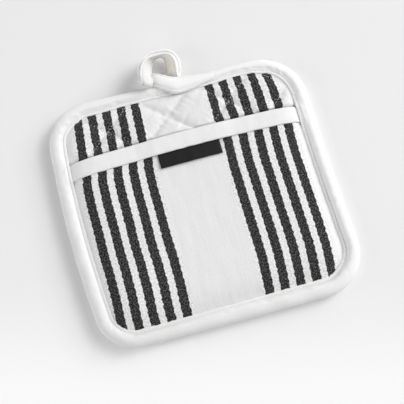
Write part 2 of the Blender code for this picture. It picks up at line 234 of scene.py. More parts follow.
FOCAL_LENGTH, PICTURE_WIDTH = 840.0, 404.0  # in pixels
SENSOR = 36.0
CAMERA_PLACE = (-0.04534, -0.16494, 0.64773)
CAMERA_TURN = (14.579, 0.023, -15.523)  # in degrees
ROOM_LIGHT = 0.18
LIGHTS_NEAR, LIGHTS_FAR = 1.3, 3.12  # metres away
LIGHTS = (
    # name, azimuth and elevation in degrees, metres away, side in metres, watts
    ("window_right", 20.0, 30.0, LIGHTS_FAR, 1.5, 47.0),
    ("window_right_low", 5.9, 12.7, 3.01, 1.5, 14.0),
    ("window_right_upper", 10.0, 45.0, LIGHTS_FAR, 1.7, 30.0),
    ("window_right_front", -20.0, 30.0, LIGHTS_FAR, 1.7, 6.0),
    ("wall_back_right", 60.0, 25.0, LIGHTS_FAR, 1.7, 13.0),
    ("wall_back_left", 120.0, 25.0, LIGHTS_NEAR, 0.7, 0.8),
    ("wall_left", 180.0, 25.0, LIGHTS_NEAR, 0.7, 4.6),
    ("wall_left_front", 225.0, 25.0, LIGHTS_NEAR, 0.7, 2.1),
    ("ceiling_front", 225.0, 55.0, LIGHTS_NEAR, 0.7, 1.7),
    ("wall_front", 315.0, 30.0, LIGHTS_NEAR, 0.7, 1.7),
)


# ---------------------------------------------------------------- outline and heights


def bowed_side(start, end, bow):
    along = end - start
    length = np.linalg.norm(along)
    outward = np.array((along[1], -along[0])) / length

    def point(share):
        return start + along * share + outward * (4.0 * bow * share * (1.0 - share))

    def direction(share):
        run = along + outward * (4.0 * bow * (1.0 - 2.0 * share))
        return run / np.linalg.norm(run)

    return point, direction, length


def edge_line():
    """The binding's outer edge, anticlockwise from the middle of the top side."""
    places = [np.array((x, y)) for x, y, _, _ in CORNERS]
    sides = [bowed_side(places[i], places[(i + 1) % 4], CORNERS[i][3]) for i in range(4)]
    line = []
    for i in range(4):
        point, direction, length = sides[i]
        next_point, next_direction, next_length = sides[(i + 1) % 4]
        rounding = CORNERS[(i + 1) % 4][2]
        first, last = CORNERS[i][2] / length, 1.0 - rounding / length
        for step in range(SIDE_STEPS + 1):
            line.append(point(first + (last - first) * step / SIDE_STEPS))
        start, end = point(last), next_point(rounding / next_length)
        handle_a = start + direction(last) * rounding * ARC_HANDLE
        handle_b = end - next_direction(rounding / next_length) * rounding * ARC_HANDLE
        for step in range(1, CORNER_STEPS):
            t = step / CORNER_STEPS
            s = 1.0 - t
            line.append(
                start * s**3 + handle_a * 3 * s * s * t + handle_b * 3 * s * t * t + end * t**3
            )
    top_middle = SIDE_STEPS + CORNER_STEPS + SIDE_STEPS * 2 // 5
    return np.roll(np.array(line), -top_middle, axis=0)


EDGE = edge_line()
RUN = np.roll(EDGE, -1, axis=0) - np.roll(EDGE, 1, axis=0)
RUN /= np.linalg.norm(RUN, axis=1)[:, None]
INWARD = np.stack((-RUN[:, 1], RUN[:, 0]), axis=1)
STEPS = np.linalg.norm(np.roll(EDGE, -1, axis=0) - EDGE, axis=1)
ALONG = np.concatenate(((0.0,), np.cumsum(STEPS)[:-1]))


def binding_width(inward):
    across = np.where(inward[:, 0] > 0, WIDTH_LEFT, WIDTH_RIGHT)
    along = np.where(inward[:, 1] > 0, WIDTH_BOTTOM, WIDTH_TOP)
    return across * inward[:, 0] ** 2 + along * inward[:, 1] ** 2


BEARING = np.degrees(np.arctan2(EDGE[:, 1], EDGE[:, 0]))
WANDERED = np.array(LIP_WANDER)
WIDTH = binding_width(INWARD)
WIDTH += np.interp(BEARING, WANDERED[:, 0], WANDERED[:, 1], period=360.0)
LIP_RISE = np.interp(BEARING, WANDERED[:, 0], WANDERED[:, 2], period=360.0)


def ring_at(share, extra=0.0):
    return EDGE + INWARD * (share * WIDTH + extra)[:, None]


def from_edge(x, y):
    """How far inside the binding's lip places lie, and how far round the edge."""
    points = np.stack((x, y), axis=1)
    inside, along = np.empty(len(points)), np.empty(len(points))
    for start in range(0, len(points), 4000):
        part = points[start : start + 4000]
        offset = part[:, None, :] - EDGE[None]
        nearest = (offset**2).sum(2).argmin(1)
        across = (offset[np.arange(len(part)), nearest] * INWARD[nearest]).sum(1)
        slide = (offset[np.arange(len(part)), nearest] * RUN[nearest]).sum(1)
        inside[start : start + 4000] = across - WIDTH[nearest]
        along[start : start + 4000] = ALONG[nearest] + slide
    return inside, along


def lip_rise(along):
    return np.interp(along, ALONG, LIP_RISE, period=ALONG[-1] + STEPS[-1])


def smooth_step(value, start, end):
    share = np.clip((value - start) / (end - start), 0.0, 1.0)
    return share * share * (3.0 - 2.0 * share)


def rise(inside, reach):
    return 1.0 - np.exp(-np.maximum(inside - 0.5, 0.0) / reach)


def soft_noise(x, y, size, seed):
    """Smooth unevenness, about -1 to 1, with bumps about size across."""
    chance = np.random.default_rng(seed)
    total = np.zeros_like(x, dtype=float)
    for _ in range(8):
        turn, phase = chance.uniform(0.0, math.tau, 2)
        wave = size * chance.uniform(0.7, 1.5)
        total += np.sin((x * math.cos(turn) + y * math.sin(turn)) * math.tau / wave + phase)
    return total / 4.0


def gathers(along, size, seed):
    """Uneven small folds across a seam, as heights along it from -1 to 1."""
    chance = np.random.default_rng(seed)
    total = np.zeros_like(along, dtype=float)
    for _ in range(6):
        wave = size * chance.uniform(0.6, 1.7)
        total += np.sin(along * math.tau / wave + chance.uniform(0.0, math.tau))
    return total / 3.0


def quilting(x, y):
    """Distances to the nearest stitch line of each slope, and how far along the nearer one."""
    across, along = [], []
    for slope in (QUILT_SLOPE, -QUILT_SLOPE):
        shift = (x - QUILT_CENTRE[0]) - (y - QUILT_CENTRE[1]) / slope
        shift = shift - QUILT_WIDTH * np.round(shift / QUILT_WIDTH)
        tilt = math.hypot(1.0, slope)
        across.append(np.abs(shift) * QUILT_SLOPE / tilt)
        along.append((x + y * slope) / tilt)
    nearer = across[0] < across[1]
    return across[0], across[1], np.where(nearer, along[0], along[1])


def puffs(x, y, seed):
    """Height of the filling between stitch lines, 0 on a line, with folds drawn into it."""
    first, second, along = quilting(x, y)
    near = np.minimum(first, second)
    pillow = (1.0 - np.exp(-first / 2.8)) * (1.0 - np.exp(-second / 2.8))
    folds = np.exp(-near / 5.0) * (1.0 - np.exp(-near / 1.0)) * gathers(along, 6.5, seed)
    dimples = np.exp(-((near / 1.1) ** 2)) * (0.5 + 0.5 * np.cos(along * math.tau / STITCH))
    return pillow + 0.26 * folds - 0.10 * dimples


def mouth_line(x):
    """The pocket's upper edge, which sags towards both its ends."""
    return MOUTH_Y - MOUTH_SAG * (x / MOUTH_HALF) ** 2


def pad_top(x, y):
    inside, along = from_edge(x, y)
    behind_band = y - mouth_line(x)
    pocket = 1.0 - smooth_step(behind_band, 1.1, 3.2)
    seam = SEAM_TOP - 2.0 * pocket + lip_rise(along)
    field = PAD_TOP + (PAD_UNDER_POCKET - PAD_TOP) * pocket
    lift = rise(inside, 3.2 + 1.4 * pocket)
    height = field - PUFF_FOOT + PUFF * puffs(x, y, 3) + 0.22 * soft_noise(x, y, 15.0, 5)
    swollen = np.exp(-(((behind_band - 3.2) / 3.0) ** 2)) * (1.0 - pocket)
    height += PUFF_BEHIND_BAND * swollen
    drawn = 0.28 * gathers(along, 8.0, 11) * np.exp(-np.maximum(inside, 0.0) / 5.0) * lift
    return seam + (height - seam) * lift + drawn


def pad_under(x, y):
    inside, along = from_edge(x, y)
    lift = rise(inside, 3.0)
    height = 1.3 * np.maximum(1.0 - 1.12 * puffs(x, y, 7), 0.0)
    drawn = 0.25 * gathers(along, 9.0, 12) * np.exp(-np.maximum(inside, 0.0) / 5.0) * lift
    return np.maximum(SEAM_UNDER * (1.0 - lift) + height * lift + drawn, 0.0)


def pocket_top(x, y):
    inside, along = from_edge(x, y)
    swell = 0.25 * np.sin(x / 17.0 + 0.8) * np.sin(y / 23.0 - 0.4)
    streaks = 0.10 * soft_noise(x, y * 0.25, 9.0, 21)
    lift = rise(inside, POCKET_REACH)
    groove = 0.30 * np.exp(-(((inside - 2.3) / 0.7) ** 2))
    drawn = 0.30 * gathers(along, 8.5, 23) * np.exp(-((inside - 3.5) / 4.0) ** 2)
    seam = SEAM_TOP + lip_rise(along)
    return seam + (POCKET_TOP + swell + streaks - seam + drawn - groove) * lift


# ---------------------------------------------------------------- meshes


def only(piece):
    """Makes one object the active and only selected one."""
    bpy.ops.object.select_all(action="DESELECT")
    piece.select_set(True)
    bpy.context.view_layer.objects.active = piece


def points_of(piece):
    points = np.empty(len(piece.data.vertices) * 3)
    piece.data.vertices.foreach_get("co", points)
    return points.reshape(-1, 3)


def place_points(piece, points):
    piece.data.vertices.foreach_set("co", np.ascontiguousarray(points, dtype=np.float32).ravel())
    piece.data.update()


def face_outwards(piece):
    only(piece)
    bpy.ops.object.mode_set(mode="EDIT")
    bpy.ops.mesh.select_all(action="SELECT")
    bpy.ops.mesh.normals_make_consistent(inside=False)
    bpy.ops.object.mode_set(mode="OBJECT")
    piece.data.shade_smooth()


def lay_map(piece, values):
    """Writes a place on the cloth, in millimetres, at each point."""
    layer = piece.data.uv_layers.new(name="cloth")
    corners = np.empty(len(piece.data.loops), dtype=np.int32)
    piece.data.loops.foreach_get("vertex_index", corners)
    layer.data.foreach_set("uv", np.ascontiguousarray(values[corners], dtype=np.float32).ravel())


def cloth_blank(name, cells, share):
    """Flat cloth cut to the outline, its rim a share of the binding's width in from the edge."""
    bpy.ops.object.select_all(action="DESELECT")
    bpy.ops.mesh.primitive_grid_add(x_subdivisions=cells, y_subdivisions=cells, size=2.0)
    piece = bpy.context.object
    piece.name = piece.data.name = name
    square = points_of(piece)
    rim = ring_at(share)
    turns, radii = np.arctan2(rim[:, 1], rim[:, 0]), np.linalg.norm(rim, axis=1)
    order = turns.argsort()
    turn = np.arctan2(square[:, 1], square[:, 0])
    radius = np.interp(turn, turns[order], radii[order], period=math.tau)
    reach = np.abs(square[:, :2]).max(axis=1) * radius
    place_points(piece, np.stack((np.cos(turn) * reach, np.sin(turn) * reach, 0.0 * reach), 1))
    return piece


def two_faces(piece):
    """Gives flat cloth a second face. True marks the points of the upper one."""
    only(piece)
    bpy.ops.object.mode_set(mode="EDIT")
    bpy.ops.mesh.select_all(action="SELECT")
    bpy.ops.mesh.extrude_region_move(TRANSFORM_OT_translate={"value": (0.0, 0.0, 1.0)})
    bpy.ops.object.mode_set(mode="OBJECT")
    return points_of(piece)[:, 2] > 0.5


def skin(name, sections, ring):
    """A strip's mesh over equal sections, joined into a ring or closed at both ends."""
    rows, count = sections.shape[:2]
    faces = []
    for row in range(rows if ring else rows - 1):
        first, second = row * count, (row + 1) % rows * count
        for i in range(count):
            j = (i + 1) % count
            faces.append((first + i, first + j, second + j, second + i))
    if not ring:
        faces += [tuple(range(count)), tuple(range((rows - 1) * count, rows * count))]
    mesh = bpy.data.meshes.new(name)
    mesh.from_pydata((sections.reshape(-1, 3) * MM).tolist(), [], faces)
    piece = bpy.data.objects.new(name, mesh)
    bpy.context.scene.collection.objects.link(piece)
    face_outwards(piece)
    return piece


def smooth_rows(rows, per_row):
    """Rows at even steps on a smooth curve through the given rows."""
    table = np.array(rows, dtype=float)
    padded = np.vstack((2 * table[0] - table[1], table, 2 * table[-1] - table[-2]))
    steps = (len(table) - 1) * per_row
    found = []
    for step in range(steps + 1):
        place = step / per_row
        index = min(int(place), len(table) - 2)
        t = place - index
        a, b, c, d = padded[index : index + 4]
        found.append(
            0.5 * (2 * b + (c - a) * t + (2 * a - 5 * b + 4 * c - d) * t**2
                   + (3 * b - a - 3 * c + d) * t**3)
        )
    return np.array(found)


def unit(vectors):
    return vectors / np.linalg.norm(vectors, axis=-1, keepdims=True)


# ---------------------------------------------------------------- sewn pieces


def make_pad():
    pad = cloth_blank("quilted_filling_pad", 148, 0.24)
    upper = two_faces(pad)
    points = points_of(pad)
    x, y = points[:, 0], points[:, 1]
    lean = np.interp(x, (-82.0, -68.0, 0.0, 20.0), (3.3, 1.8, 1.8, 0.0)) * (y - 71.0) / 33.0
    lean -= (y - 62.0) * (0.018 * smooth_step(x, 20.0, 40.0) + 0.03 * smooth_step(x, 62.0, 80.0))
    bow = smooth_step(x, 62.0, 80.0) * np.clip(1.0 - ((y - 69.0) / 17.0) ** 2, 0.0, 1.0)
    near = np.minimum(*quilting(x, y)[:2])
    pulled = 0.8 * soft_noise(x, y, 9.0, 31) * np.exp(-near / 6.0)
    table = np.array(DRAWN_IN)
    across = np.interp(x - lean - bow + pulled, table[:, 0], table[:, 1])
    lay_map(pad, np.stack((across, y * 1.04), axis=1))
    height = np.where(upper, pad_top(x, y), pad_under(x, y))
    place_points(pad, np.stack((x, y, height), axis=1) * MM)
    face_outwards(pad)
    under = np.zeros(len(pad.data.polygons), dtype=np.int32)
    for index, face in enumerate(pad.data.polygons):
        under[index] = not any(upper[corner] for corner in face.vertices)
    pad.data.polygons.foreach_set("material_index", under)
    return pad


def make_pocket():
    pocket = cloth_blank("striped_pocket", 148, 0.45)
    only(pocket)
    bpy.ops.object.mode_set(mode="EDIT")
    bpy.ops.mesh.select_all(action="SELECT")
    bpy.ops.mesh.bisect(
        plane_co=(0.0, MOUTH_Y, 0.0), plane_no=(0.0, 1.0, 0.0), clear_outer=True
    )
    bpy.ops.object.mode_set(mode="OBJECT")
    upper = two_faces(pocket)
    points = points_of(pocket)
    x, y = points[:, 0], points[:, 1]
    bow = 0.8 * np.clip(1.0 - ((y + 24.0) / 64.0) ** 2, 0.0, 1.0) * smooth_step(x, 0.0, 40.0)
    table = np.array(WANDER)
    left, right = (np.interp(y, table[:, 0], table[:, side]) for side in (1, 2))
    uneven = 0.15 * soft_noise(x, y, 38.0, 33) + left
    uneven += (right - left) * smooth_step(x, -20.0, 20.0)
    height = pocket_top(x, y) - np.where(upper, 0.0, POCKET_THICK)
    y = y + (mouth_line(x) - MOUTH_Y) * smooth_step(y, -40.0, MOUTH_Y)
    lay_map(pocket, np.stack((x - bow + uneven, y), axis=1))
    place_points(pocket, np.stack((x, y, height), axis=1) * MM)
    face_outwards(pocket)
    return pocket


def on_pocket(x, y):
    """The pocket's upper face under a place on its sagging band."""
    return pocket_top(x, y - mouth_line(x) + MOUTH_Y)


def lip_at(y, side):
    """Where the binding's lip is at y, on the left (-1) or right (1)."""
    lip = ring_at(1.0)
    half = lip[(lip[:, 0] * side > 40.0) & (np.abs(lip[:, 1]) < 75.0)]
    order = half[:, 1].argsort()
    return float(np.interp(y, half[order, 1], half[order, 0]))


def make_band():
    """A strip folded over the pocket's mouth, its front edge turned in and stitched down."""
    x = np.linspace(lip_at(46.0, -1) - 1.8, lip_at(46.0, 1) + 1.8, 160)
    mouth = mouth_line(x)
    beside = np.abs(x) - LABEL_WIDTH / 2
    by_label = 1.0 - smooth_step(beside, 0.5, 0.5 + LABEL_EASE)
    inside = from_edge(x, mouth)[0]
    slack = 0.15 * (1.0 - rise(inside, POCKET_REACH))
    top_gap = 0.3 + (LABEL_THICK + 0.3) * by_label + slack
    front = BAND_FRONT + 0.12 * gathers(x, 11.0, 41)
    rows = []

    def over(back, lift):
        y = mouth - back
        puckers = 0.04 * gathers(x, 6.0, 43) + 0.10 * soft_noise(x, y, 17.0, 45)
        rows.append(np.stack((x, y, on_pocket(x, y) + top_gap + lift + puckers * (lift > 0)), 1))

    def below(back, lift):
        y = mouth - back
        rows.append(np.stack((x, y, on_pocket(x, y) - POCKET_THICK - 0.3 - slack * 0.5 - lift), 1))

    over(front, 0.0)
    over(front + 0.2, BAND_THICK * 0.45)
    over(front - 0.4, BAND_THICK * 0.95)
    over(front - 1.0, BAND_THICK * 1.05)
    over(front - BAND_STITCHES, BAND_THICK * 0.72)
    over(front - 2.5, BAND_THICK)
    for back in (9.3, 8.2, 7.0, 5.5, 4.0, 2.8, 1.6, 0.6):
        over(back, BAND_THICK)
    fold = mouth + BAND_OVER
    high = on_pocket(x, mouth) + top_gap
    low = on_pocket(x, mouth) - POCKET_THICK - 0.3 - slack * 0.5
    for lean, share in ((-0.35, 1.06), (0.0, 0.72), (0.0, 0.28), (-0.35, -0.06)):
        rows.append(np.stack((x, fold + lean, low + (high - low) * share), axis=1))
    for back in (1.2, 3.5, 6.0, BAND_BACK):
        below(back, BAND_THICK)
    for back in (BAND_BACK, 6.0, 3.0):
        below(back, 0.0)
    rows.append(np.stack((x, mouth + 0.3, low), axis=1))
    rows.append(np.stack((x, mouth + 0.3, high), axis=1))
    for back in (3.0, 6.0, 10.0):
        over(back, 0.0)
    sections = np.stack(rows, axis=1)
    band = skin("folded_pocket_band", sections, ring=False)
    lay_map(band, points_of(band)[:, :2] / MM)
    return band


def make_label():
    """A blank ribbon tab with its upper end caught under the band."""
    bpy.ops.object.select_all(action="DESELECT")
    bpy.ops.mesh.primitive_grid_add(x_subdivisions=56, y_subdivisions=16, size=1.0)
    label = bpy.context.object
    label.name = label.data.name = "blank_woven_label"
    upper = two_faces(label)
    square = points_of(label)
    x = square[:, 0] * LABEL_WIDTH
    down = (LABEL_DROP + LABEL_TUCK) * (0.5 - square[:, 1])
    y = mouth_line(x) - BAND_FRONT + LABEL_TUCK - down
    free = smooth_step(down, LABEL_TUCK + 1.0, LABEL_DROP + LABEL_TUCK)
    rim = np.minimum(LABEL_WIDTH / 2 - np.abs(x), LABEL_DROP + LABEL_TUCK - down)
    curl = 0.25 * free * np.cos(x / LABEL_WIDTH * math.tau) + 0.10 * soft_noise(x, y, 16.0, 51)
    height = on_pocket(x, y) + 0.3 + 0.7 * free + np.where(upper, curl * free, 0.0)
    height += np.where(upper, LABEL_THICK - 0.25 * np.exp(-rim / 0.5), 0.0)
    place_points(label, np.stack((x, y, height), axis=1) * MM)
    lay_map(label, np.stack((x, down), axis=1))
    face_outwards(label)
    return label


def make_binding():
    """A tape folded over the edge and filled out by the cloth in it."""
    outer = smooth_rows(ROLL, 3)
    section = np.vstack((outer, ROLL_INSIDE))
    around = np.linspace(0.0, 1.0, len(outer))
    over_band = smooth_step(EDGE[:, 1], MOUTH_Y - 19.0, MOUTH_Y - 13.5)
    over_band *= 1.0 - smooth_step(EDGE[:, 1], MOUTH_Y - 0.5, MOUTH_Y + 5.0)
    scallop = 0.25 * gathers(ALONG, 7.0, 67)
    sections = np.empty((len(EDGE), len(section), 3))
    for k, (share, past, height) in enumerate(section):
        swell = np.zeros(len(EDGE))
        if k < len(outer) and height > 0.5:
            foot = math.exp(-(((share - 0.85) / 0.15) ** 2)) if height > 6.0 else 0.0
            swell = 0.30 * foot * gathers(ALONG + 9.0 * share, 8.0, 61)
            swell += 0.20 * gathers(ALONG + 14.0 * share, 26.0, 63) * (past == 0.0)
            swell += 0.12 * gathers(ALONG - 11.0 * share, 9.0, 65)
        inward = share * (WIDTH - HEM) + past - 0.6 * swell * (share < 0.3)
        if past > 2.0:
            inward = inward + scallop
        up = min(max((height - 5.8) / 4.0, 0.0), 1.0)
        raised = RISE_OVER_BAND * over_band * smooth_step(share, 0.7, 1.0)
        raised = (raised + LIP_RISE * smooth_step(share, 0.86, 1.0)) * (height > 6.0)
        sections[:, k, :2] = EDGE + INWARD * inward[:, None]
        sections[:, k, 2] = height + swell * up + raised
    binding = skin("plump_edge_binding", sections, ring=True)
    inner = np.linspace(AROUND_OUTSIDE, AROUND_ALL, len(ROLL_INSIDE))
    around_mm = np.concatenate((around * AROUND_OUTSIDE, inner))
    lay_map(binding, np.stack(
        (np.repeat(ALONG, len(section)), np.tile(around_mm, len(EDGE))), axis=1
    ))
    return binding


def tape_frames(table):
    """Where a tape's middle runs, half its width and the side it shows, along its length."""
    rows = smooth_rows(table, 12)
    front, back = rows[:, :3], rows[:, 3:6]
    middle, half = (front + back) / 2, (back - front) / 2
    shown = unit(np.cross(half, np.gradient(middle, axis=0)))
    steps = np.linalg.norm(np.diff(middle, axis=0), axis=1)
    length = np.concatenate(((0.0,), np.cumsum(steps)))
    return middle, half, shown, rows[:, 6], rows[:, 7], length


def tape(name, table, start):
    """A tape folded double, its two long edges showing both layers."""
    middle, half, shown, bulge, thick, length = tape_frames(table)
    face = ((0.2, 1.04), (0.45, 1.02), (0.67, 0.97), (LOOP_STITCHES, 0.62), (0.80, 0.98),
            (0.88, 1.0), (0.96, 0.88), (1.0, 0.64), (0.99, 0.42), (0.96, 0.24))
    face = [(-a, b) for a, b in reversed(face)] + [*face]
    spread = [*face, (0.78, 0.0), *[(a, -b) for a, b in reversed(face)], (-0.78, 0.0)]
    sections = []
    for a, b in spread:
        uneven = 1.0 + 0.05 * gathers(length + 5.0 * a, 11.0, 71)
        rows = middle + half * a + np.outer(bulge * (1.0 - a * a), (0.0, 0.0, 1.0))
        sections.append(rows + shown * (thick / 2 * b * uneven)[:, None])
    piece = skin(name, np.stack(sections, axis=1), ring=False)
    widths = np.array([a * TAPE_HALF for a, _ in spread])
    widths[len(face) + 1 : -1] += BACK_OF_TAPE
    lay_map(piece, np.stack(
        (np.tile(widths, len(length)), np.repeat(length + start, len(spread))), axis=1
    ))
    return piece


def make_loop():
    """The tape on the binding and the ring that it folds over into."""
    ring = tape("hanging_loop_ring", LOOP_RING, RING_START)
    loop = tape("hanging_loop_tape", LOOP_STRAND, 0.0)
    only(loop)
    ring.select_set(True)
    bpy.ops.object.join()
    return loop


# ---------------------------------------------------------------- threads


def one_stitch():
    """Points and faces of a single stitch, 1 long and 1 across, its ends going down."""
    bpy.ops.object.select_all(action="DESELECT")
    bpy.ops.mesh.primitive_cylinder_add(
        vertices=6, radius=0.5, depth=1.0, rotation=(0.0, math.pi / 2, 0.0)
    )
    piece = bpy.context.object
    bpy.ops.object.transform_apply(location=True, rotation=True, scale=True)
    only(piece)
    bpy.ops.object.mode_set(mode="EDIT")
    bpy.ops.mesh.select_all(action="SELECT")
    bpy.ops.mesh.bisect(plane_co=(-0.28, 0.0, 0.0), plane_no=(1.0, 0.0, 0.0))
    bpy.ops.mesh.select_all(action="SELECT")
    bpy.ops.mesh.bisect(plane_co=(0.28, 0.0, 0.0), plane_no=(1.0, 0.0, 0.0))
    bpy.ops.object.mode_set(mode="OBJECT")
    points = points_of(piece)
    end = np.abs(points[:, 0]) > 0.4
    points[end, 1:] *= 0.6
    points[end, 2] -= 0.45
    faces = [tuple(face.vertices) for face in piece.data.polygons]
    mesh = piece.data
    bpy.data.objects.remove(piece)
    bpy.data.meshes.remove(mesh)
    return points, faces


def sew(name, onto, places, directions, look_from, length, thick, pitch_seed):
    """One thread's stitches on a piece: each lies where a look from outside meets the cloth."""
    bpy.context.view_layer.update()
    tree = BVHTree.FromObject(onto, bpy.context.evaluated_depsgraph_get())
    points, faces = one_stitch()
    chance = np.random.default_rng(pitch_seed)
    made, joined = [], []
    for place, direction, outward in zip(places, directions, look_from):
        start = Vector((place + outward * 6.0) * MM)
        hit, normal, _, _ = tree.ray_cast(start, Vector(-outward), 14.0 * MM)
        if hit is None:
            continue
        normal = np.array(normal if normal.dot(Vector(outward)) > 0 else -normal)
        along = direction - normal * direction.dot(normal)
        along = along / np.linalg.norm(along)
        side = np.cross(normal, along)
        stretch = length * chance.uniform(0.9, 1.1)
        skew = chance.uniform(-0.08, 0.08)
        turned = unit(along + side * skew)
        side = np.cross(normal, turned)
        local = (
            points[:, :1] * turned * stretch
            + points[:, 1:2] * side * thick
            + points[:, 2:] * normal * thick * 0.8
        )
        joined += [tuple(corner + len(points) * len(made) for corner in face) for face in faces]
        made.append(np.array(hit) / MM + local + normal * thick * 0.12)
    mesh = bpy.data.meshes.new(name)
    mesh.from_pydata((np.vstack(made) * MM).tolist(), [], joined)
    mesh.shade_smooth()
    piece = bpy.data.objects.new(name, mesh)
    bpy.context.scene.collection.objects.link(piece)
    return piece


def even_places(line, pitch):
    """Places every pitch along a line, with the line's direction there."""
    steps = np.linalg.norm(np.diff(line, axis=0), axis=1)
    length = np.concatenate(((0.0,), np.cumsum(steps)))
    marks = np.arange(pitch / 2, length[-1], pitch)
    places = np.stack([np.interp(marks, length, line[:, i]) for i in range(3)], axis=1)
    ahead = np.stack([np.interp(marks + 0.5, length, line[:, i]) for i in range(3)], axis=1)
    behind = np.stack([np.interp(marks - 0.5, length, line[:, i]) for i in range(3)], axis=1)
    return places, unit(ahead - behind)


def quilt_lines(height, lowest_y):
    """Places and directions of the quilting stitches inside the binding, above lowest_y."""
    places, directions = [], []
    for slope in (QUILT_SLOPE, -QUILT_SLOPE):
        tilt = math.hypot(1.0, slope)
        for row in range(-6, 7):
            marks = np.arange(-220.0, 220.0, STITCH) + STITCH / 2
            x = QUILT_CENTRE[0] + QUILT_WIDTH * row + marks / tilt
            y = QUILT_CENTRE[1] + marks * slope / tilt
            inside = from_edge(x, y)[0]
            keep = (inside > 1.5) & (y > lowest_y)
            places.append(np.stack((x, y, np.full_like(x, height)), axis=1)[keep])
            run = np.array((1.0 / tilt, slope / tilt, 0.0))
            directions.append(np.tile(run, (keep.sum(), 1)))
    return np.vstack(places), np.vstack(directions)


def sew_all(pad, band, binding, loop):
    up, down = np.array((0.0, 0.0, 1.0)), np.array((0.0, 0.0, -1.0))
    threads = []

    def add(name, onto, line, outward, length, thick, seed):
        places, directions = line
        outward = np.broadcast_to(outward, places.shape)
        threads.append((sew(name, onto, places, directions, outward, length, thick, seed), onto))

    add("quilting_thread_front", pad, quilt_lines(8.0, MOUTH_Y + 3.0), up, 1.7, 0.30, 81)
    add("quilting_thread_back", pad, quilt_lines(0.5, -200.0), down, 2.1, 0.42, 82)
    x = np.linspace(-92.0, 88.0, 200)
    hem = np.stack((x, mouth_line(x) - BAND_FRONT + BAND_STITCHES, np.full_like(x, 15.0)), axis=1)
    add("band_thread", band, even_places(hem, 2.8), up, 2.0, 0.38, 84)
    for name, in_from_lip, height, outward, seed in (
        ("binding_thread_front", 2.1, 10.0, up, 85),
        ("binding_thread_back", 2.1, 1.0, down, 86),
    ):
        line = ring_at(1.0, -in_from_lip)
        line = np.column_stack((line, np.full(len(line), height)))
        add(name, binding, even_places(np.vstack((line, line[:1])), 3.2), outward, 2.3, 0.42, seed)
    for name, table, side, seed in (
        ("loop_thread_front", LOOP_STRAND, -LOOP_STITCHES, 87),
        ("loop_thread_back", LOOP_STRAND, LOOP_STITCHES, 88),
        ("loop_thread_rim", LOOP_RING, -LOOP_STITCHES, 89),
    ):
        middle, half, shown = tape_frames(table)[:3]
        places, directions = even_places(middle + half * side, 2.6)
        rows = np.arange(len(shown))
        count = np.linspace(0.0, len(shown) - 1.0, len(places))
        normals = np.stack([np.interp(count, rows, shown[:, i]) for i in range(3)], axis=1)
        add(name, loop, (places, directions), unit(normals), 1.8, 0.34, seed)
    return threads


# ---------------------------------------------------------------- finishes


class Wire:
    """A shader value that can be used in sums."""

    def __init__(self, socket):
        self.socket = socket

    def math(self, operation, *others, flipped=False):
        tree = self.socket.id_data
        node = tree.nodes.new("ShaderNodeMath")
        node.operation = operation
        values = [self, *others]
        for place, value in zip(node.inputs, reversed(values) if flipped else values):
            if isinstance(value, Wire):
                tree.links.new(value.socket, place)
            else:
                place.default_value = value
        return Wire(node.outputs[0])

    def __add__(self, other):
        return self.math("ADD", other)

    __radd__ = __add__

    def __sub__(self, other):
        return self.math("SUBTRACT", other)

    def __rsub__(self, other):
        return self.math("SUBTRACT", other, flipped=True)

    def __mul__(self, other):
        return self.math("MULTIPLY", other)

    __rmul__ = __mul__

    def __truediv__(self, other):
        return self.math("DIVIDE", other)

    def __mod__(self, other):
        return self.math("FLOORED_MODULO", other)

    def __gt__(self, other):
        return self.math("GREATER_THAN", other)

    def __lt__(self, other):
        return self.math("LESS_THAN", other)

    def __abs__(self):
        return self.math("ABSOLUTE", 0.0)

    def sin(self):
        return self.math("SINE", 0.0)

    def clamped(self):
        return self.math("MINIMUM", 1.0).math("MAXIMUM", 0.0)


